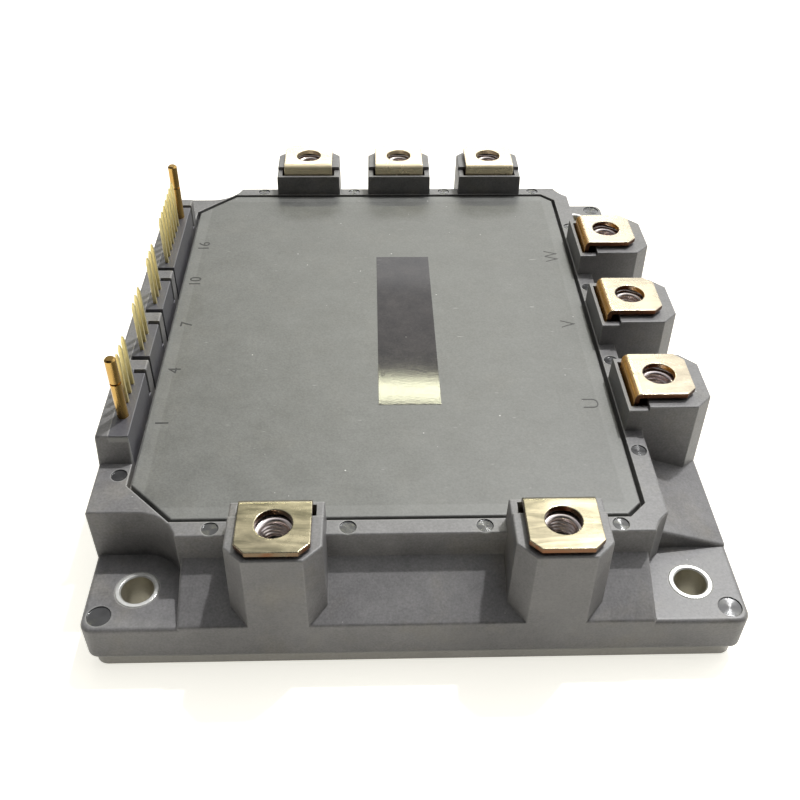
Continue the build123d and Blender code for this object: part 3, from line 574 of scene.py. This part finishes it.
nut_steel, tree, shader = finish("nut_steel", metallic=0.85)
speckle = place(tree, grain, {"Fine": 900.0, "Broad": 250.0, "Depth": 0.2})
feed(tree, shader, {
    "Base Color": mix(tree, speckle.outputs["Cloud"], tone("DCD0E0"), tone("FFF4DC")),
    "Roughness": ranged(tree, speckle.outputs["Height"], 0.3, 0.7, 0.12, 0.2)})
for name in FRONT_TERMINALS + BACK_TERMINALS + OUTPUT_TERMINALS:
    points = nut_points(*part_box("nut_" + name))
    nut = grid_mesh("threaded_nut_" + name, points, grid_faces(*points.shape[:2]), nut_steel)
    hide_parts("nut_" + name)
    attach(nut, "root")


# Control pins and link pins: square drawn brass wire, gold plated, pressed through the carriers.
# The plating is pale and a little uneven along each pin.

PIN_NAMES = ["control_pin_%02d" % number for number in range(1, 17)]

pin_gold, tree, shader = finish("pin_gold", metallic=0.85, roughness=0.34)
speckle = place(tree, grain, {"Fine": 900.0, "Broad": 180.0, "Depth": 0.2})
edge_node = place(tree, edges, {"Width": 0.00012})
feed(tree, shader, {
    "Base Color": mix(tree, speckle.outputs["Cloud"], tone("EEDC90"), tone("FFF2BC")),
    "Normal": edge_node.outputs["Normal"]})
dress(pin_gold, *PIN_NAMES, "link_pins")


# Guide pins: two round pins turned from brass with a groove and a chamfered tip, pressed into
# the ends of the pin wall. Turning has left fine rings along them.

TURNED_SCALE = (60.0, 60.0, 9000.0)

brass, tree, shader = finish("guide_brass", metallic=1.0)
speckle = place(tree, grain, {"Fine": 1200.0, "Broad": 220.0, "Depth": 0.25})
stretched = add(tree, "ShaderNodeMapping", {"Vector": spot_on(tree), "Scale": TURNED_SCALE})
turned = add(tree, "ShaderNodeTexNoise", {
    "Vector": stretched.outputs["Vector"], "Scale": 1.0, "Detail": 1.0}).outputs["Fac"]
relief = add(tree, "ShaderNodeBump", {"Strength": 0.3, "Distance": 0.00001, "Height": turned})
feed(tree, shader, {
    "Base Color": mix(tree, speckle.outputs["Cloud"], tone("A98648"), tone("D2AE6C")),
    "Roughness": ranged(tree, turned, 0.3, 0.7, 0.16, 0.26),
    "Normal": relief.outputs["Normal"]})
dress(brass, "guide_pin_front", "guide_pin_back")


# Table: a white sheet of paper that the module stands on. It stays white to the camera, a little
# less so in reflections, and it keeps the module's shadow.

TABLE_HALF = 3.0
TABLE_DROP = 0.00005
TABLE_GLOW = 0.74
TABLE_MIRRORED = 0.56

paper = speckled("paper", "E4E1DA", fine=600.0, broad=8.0, depth=0.02,
                 roughness=0.9, specular_ior_level=0.1)
tree = paper.node_tree
rays = add(tree, "ShaderNodeLightPath", {})
bounced = maths(
    tree, "MAXIMUM", rays.outputs["Is Glossy Ray"], rays.outputs["Is Transmission Ray"])
mirrored = maths(tree, "MULTIPLY", bounced, TABLE_MIRRORED)
glow = maths(tree, "MULTIPLY_ADD", rays.outputs["Is Camera Ray"], TABLE_GLOW, mirrored)
feed(tree, tree.nodes["Principled BSDF"], {
    "Emission Color": tone("FFFDF4"), "Emission Strength": glow})
corners = np.array([[-1, -1, 0], [1, -1, 0], [1, 1, 0], [-1, 1, 0]]) * TABLE_HALF
corners[:, 2] = cad_box[0][2] - TABLE_DROP
table = grid_mesh("table", corners, np.array([[0, 1, 2, 3]]), paper)


# Light: a white room that is brighter towards the right and behind, a small lamp high behind and
# to the right for the crisp shadows, and a soft box there that the plastic shines with. Three
# strips straight behind are what the near and far ends of the film and the back plates mirror.

SUN_FALL = Vector((-0.32, -0.40, -1.0))
SUN_STRENGTH = 1.8
SUN_WIDTH = math.radians(2.0)
ROOM_STOPS = [(0.0, 0.35), (0.38, 0.5), (0.46, 0.85), (0.54, 0.7), (0.62, 0.36), (0.74, 0.6),
              (0.86, 1.05), (1.0, 1.05)]
ROOM_DEPTH = (-0.55, 0.15)
ROOM_FRONT, ROOM_BACK = 0.04, 1.1
ROOM_SIDE = 0.45
ROOM_LEFT, ROOM_RIGHT = 0.35, 1.65
LAMP_AWAY = 1.0
WHITE, YELLOWISH = (1.0, 1.0, 1.0), (1.0, 1.0, 0.7)


def room_tone(level):
    """A grey of the given level, as the four numbers that a ramp takes."""
    return (level, level, level, 1)


world = bpy.data.worlds.new("white_room")
bpy.context.scene.world = world
world.use_nodes = True
tree = world.node_tree
backdrop = tree.nodes["Background"]
direction = add(tree, "ShaderNodeTexCoord", {}).outputs["Generated"]
axes = add(tree, "ShaderNodeSeparateXYZ", {"Vector": direction})
room = add(tree, "ShaderNodeValToRGB", {"Fac": axes.outputs["Z"]})
stops = room.color_ramp.elements
stops[0].position, stops[0].color = ROOM_STOPS[0][0], room_tone(ROOM_STOPS[0][1])
stops[1].position, stops[1].color = ROOM_STOPS[-1][0], room_tone(ROOM_STOPS[-1][1])
for position, level in ROOM_STOPS[1:-1]:
    stops.new(position).color = room_tone(level)
depth = ranged(tree, axes.outputs["Y"], *ROOM_DEPTH, ROOM_FRONT, ROOM_BACK,
               interpolation_type="SMOOTHSTEP")
side = ranged(tree, axes.outputs["X"], -ROOM_SIDE, ROOM_SIDE, ROOM_LEFT, ROOM_RIGHT)
level = maths(tree, "MULTIPLY", maths(tree, "MULTIPLY", depth, side), room.outputs[0])
rays = add(tree, "ShaderNodeLightPath", {})
feed(tree, backdrop, {
    "Color": room_tone(1.0),
    "Strength": ranged(tree, rays.outputs["Is Camera Ray"], 0.0, 1.0, level, 1.0)})

sun_light = bpy.data.lights.new("lamp_above", "SUN")
sun_light.energy = SUN_STRENGTH
sun_light.angle = SUN_WIDTH
sun = bpy.data.objects.new("lamp_above", sun_light)
sun.rotation_euler = SUN_FALL.to_track_quat("-Z", "Y").to_euler()
bpy.context.scene.collection.objects.link(sun)


def area_lamp(name, size, power, turn, height, tint):
    """A flat rectangular lamp aimed at the module. Its place is LAMP_AWAY times the direction
    that lies turn degrees from straight behind towards the right, and height degrees up."""
    light = bpy.data.lights.new(name, "AREA")
    light.color = tint
    light.shape = "RECTANGLE"
    light.size, light.size_y = size
    light.energy = power
    lamp = bpy.data.objects.new(name, light)
    turn, height = math.radians(turn), math.radians(height)
    lamp.location = LAMP_AWAY * Vector((math.sin(turn) * math.cos(height),
                                        math.cos(turn) * math.cos(height), math.sin(height)))
    lamp.rotation_euler = (-lamp.location).to_track_quat("-Z", "Y").to_euler()
    bpy.context.scene.collection.objects.link(lamp)


area_lamp("lamp_strip", size=(0.5, 0.027), power=0.92, turn=3, height=42.2, tint=YELLOWISH)
area_lamp("lamp_soft_box", size=(0.7, 0.36), power=1.05, turn=45, height=53, tint=WHITE)
area_lamp("lamp_faint", size=(0.5, 0.06), power=0.075, turn=3, height=33.0, tint=WHITE)
area_lamp("lamp_low", size=(0.5, 0.08), power=0.6, turn=3, height=27.5, tint=WHITE)


# Camera: held in front of the module and a little to its left, looking down on it. Its place,
# turn and lens come from fitting the module's known forms in the photograph.

CAMERA_PLACE = (-0.007015, -0.160463, 0.139831)
CAMERA_TURN = (48.985, -0.677, -1.570)
CAMERA_LENS, CAMERA_SENSOR = 42.831, 36

camera_data = bpy.data.cameras.new("camera")
camera_data.sensor_width = CAMERA_SENSOR
camera_data.lens = CAMERA_LENS
camera = bpy.data.objects.new("camera", camera_data)
camera.location = CAMERA_PLACE
camera.rotation_euler = [math.radians(angle) for angle in CAMERA_TURN]
bpy.context.scene.collection.objects.link(camera)
bpy.context.scene.camera = camera
bpy.context.scene.view_settings.view_transform = "Standard"
